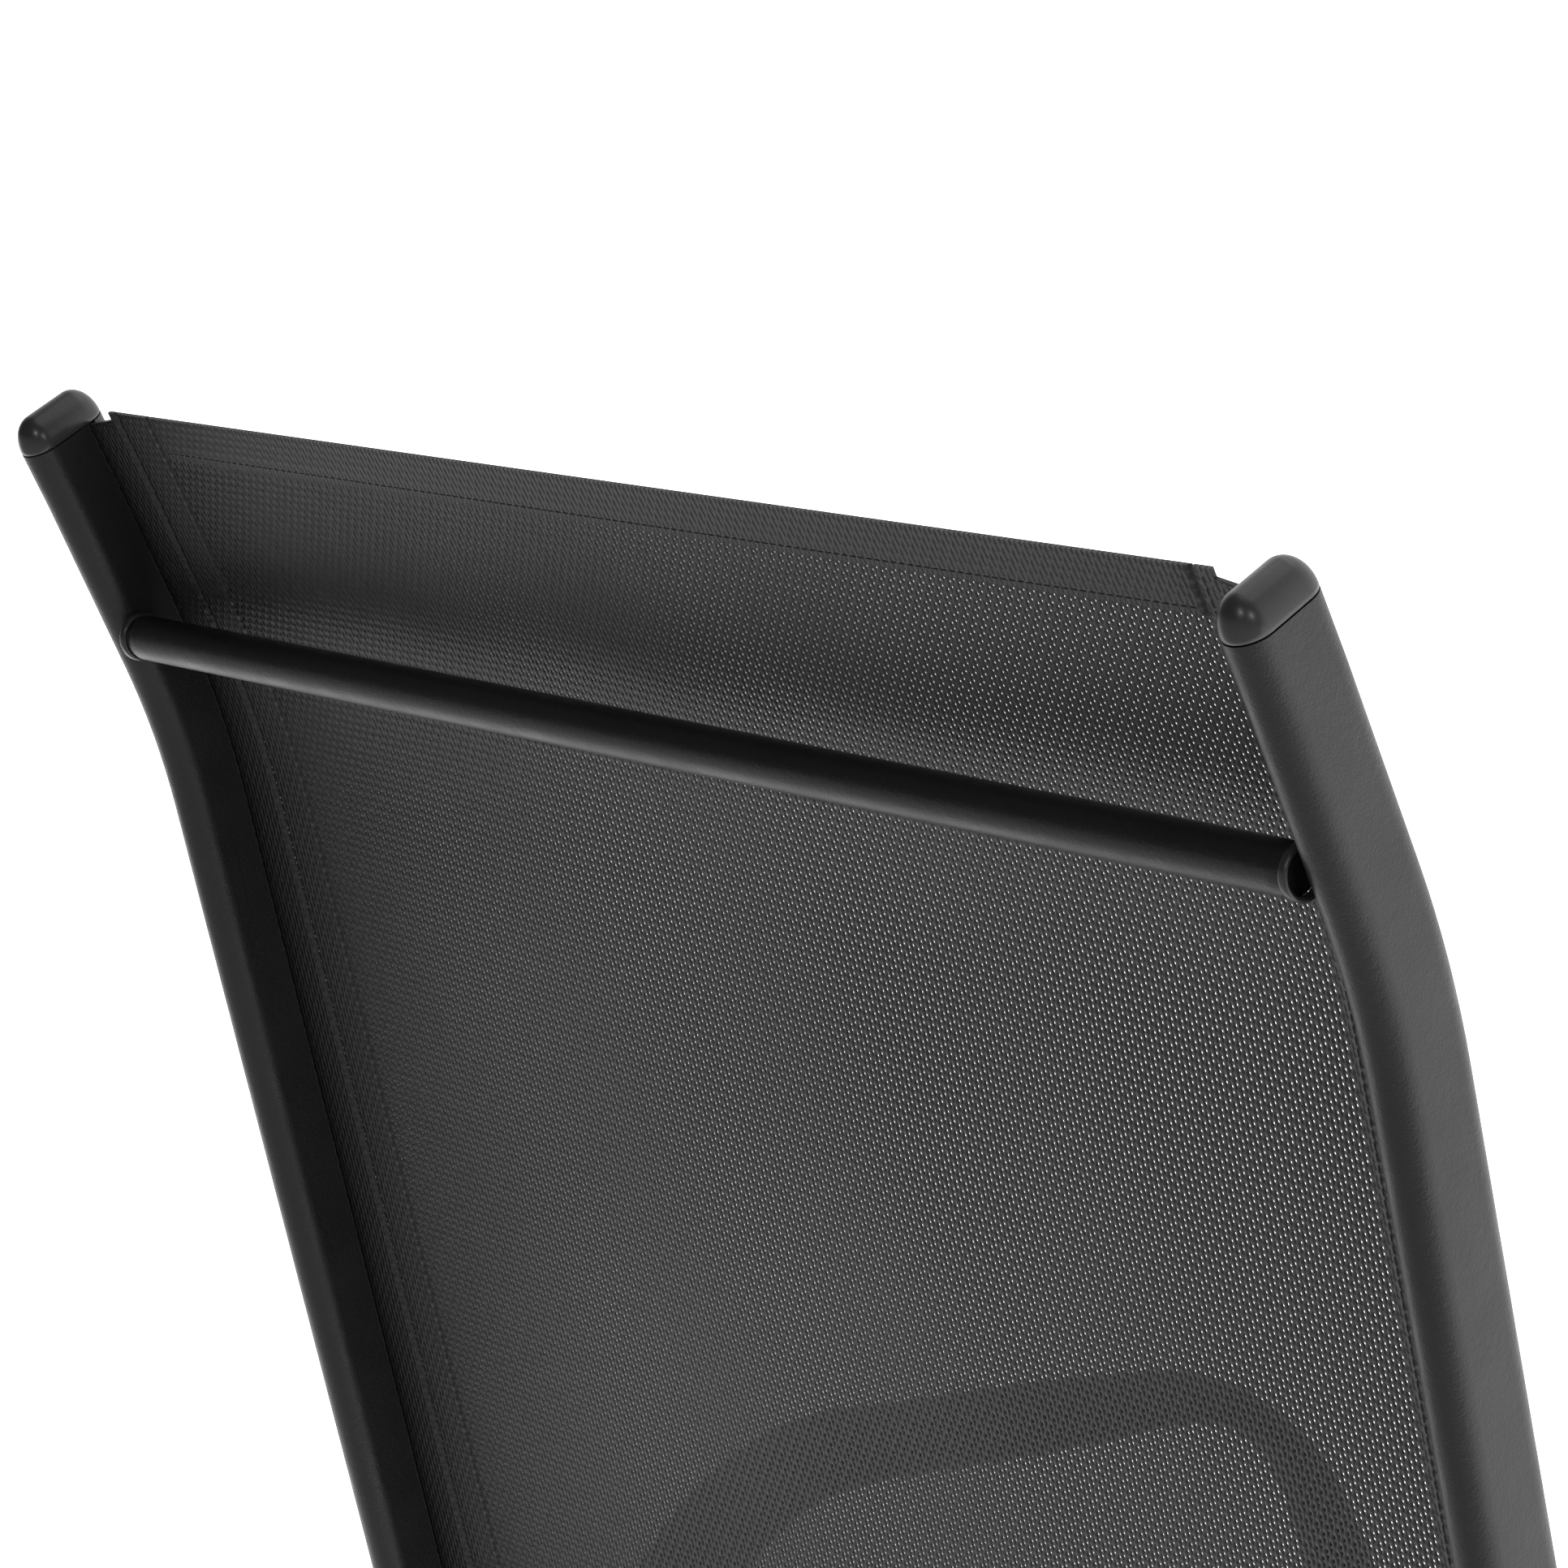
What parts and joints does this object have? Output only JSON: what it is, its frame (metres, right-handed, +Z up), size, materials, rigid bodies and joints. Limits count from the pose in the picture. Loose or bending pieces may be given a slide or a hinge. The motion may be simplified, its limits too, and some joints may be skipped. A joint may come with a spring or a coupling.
{
  "type": "reclining sun lounger",
  "caption": "Reclining sun lounger: black flat-oval tube frame with bent head end, domed end caps, woven mesh slings, loop armrests and a prop bail in slotted racks.",
  "frame": {"origin": "centre of the bounding box on the floor, with the backrest in its most upright position", "axes": "+X across the lounger to the right as seen from behind the backrest, +Y along the seat towards the foot end, +Z up"},
  "size_m": [0.6692, 1.8826, 1.0272],
  "materials": {
    "frame_paint": "black powder coat with a fine texture over aluminium",
    "black_plastic": "satin",
    "sling_mesh": "coated woven mesh",
    "spline_pvc": "matt",
    "bolt_steel": "brushed"
  },
  "bodies": {
    "base": {"base_rail_left": "frame_paint", "base_cap_front_left": "black_plastic", "base_cap_rear_left": "black_plastic", "seat_spline_left": "spline_pvc", "leg_front_left": "frame_paint", "foot_front_left": "black_plastic", "leg_bolt_front_left": "bolt_steel", "armrest_socket_front_left": "black_plastic", "leg_rear_left": "frame_paint", "foot_rear_left": "black_plastic", "leg_bolt_rear_left": "bolt_steel", "armrest_socket_rear_left": "black_plastic", "armrest_left": "frame_paint", "pivot_bushing_left": "black_plastic", "pivot_bolt_left": "bolt_steel", "pivot_nut_left": "bolt_steel", "rack_plate_left": "frame_paint", "base_rail_right": "frame_paint", "base_cap_front_right": "black_plastic", "base_cap_rear_right": "black_plastic", "seat_spline_right": "spline_pvc", "leg_front_right": "frame_paint", "foot_front_right": "black_plastic", "leg_bolt_front_right": "bolt_steel", "armrest_socket_front_right": "black_plastic", "leg_rear_right": "frame_paint", "foot_rear_right": "black_plastic", "leg_bolt_rear_right": "bolt_steel", "armrest_socket_rear_right": "black_plastic", "armrest_right": "frame_paint", "pivot_bushing_right": "black_plastic", "pivot_bolt_right": "bolt_steel", "pivot_nut_right": "bolt_steel", "rack_plate_right": "frame_paint", "seat_sling": "sling_mesh", "seat_bar_front": "frame_paint", "seat_bar_middle": "frame_paint", "seat_bar_rear": "frame_paint", "stretcher_front": "frame_paint", "stretcher_rear": "frame_paint"},
    "back": {"back_rail_left": "frame_paint", "back_top_cap_left": "black_plastic", "back_bottom_cap_left": "black_plastic", "back_spline_left": "spline_pvc", "back_bar_collar_left": "black_plastic", "bail_washer_left": "black_plastic", "bail_bolt_left": "bolt_steel", "back_rail_right": "frame_paint", "back_top_cap_right": "black_plastic", "back_bottom_cap_right": "black_plastic", "back_spline_right": "spline_pvc", "back_bar_collar_right": "black_plastic", "bail_washer_right": "black_plastic", "bail_bolt_right": "bolt_steel", "back_sling": "sling_mesh", "back_lower_bar": "frame_paint", "back_upper_bar": "frame_paint"},
    "bail": {"bail_arm_left": "frame_paint", "bail_arm_right": "frame_paint", "bail_foot_bar": "bolt_steel"}
  },
  "joints": [
    {"name": "back_recline", "type": "hinge", "parent": "base", "child": "back", "pos_m": [0, -0.29, 0.32], "axis": [1, 0, 0], "range_deg": [0, 75]},
    {"name": "bail_swing", "type": "hinge", "parent": "back", "child": "bail", "pos_m": [0, -0.35984, 0.54975], "axis": [1, 0, 0], "range_deg": [-125.97, 0]}
  ],
  "couplings": [
    {"joint": "bail_swing", "follows": "back_recline", "ratio": -1.6795}
  ]
}
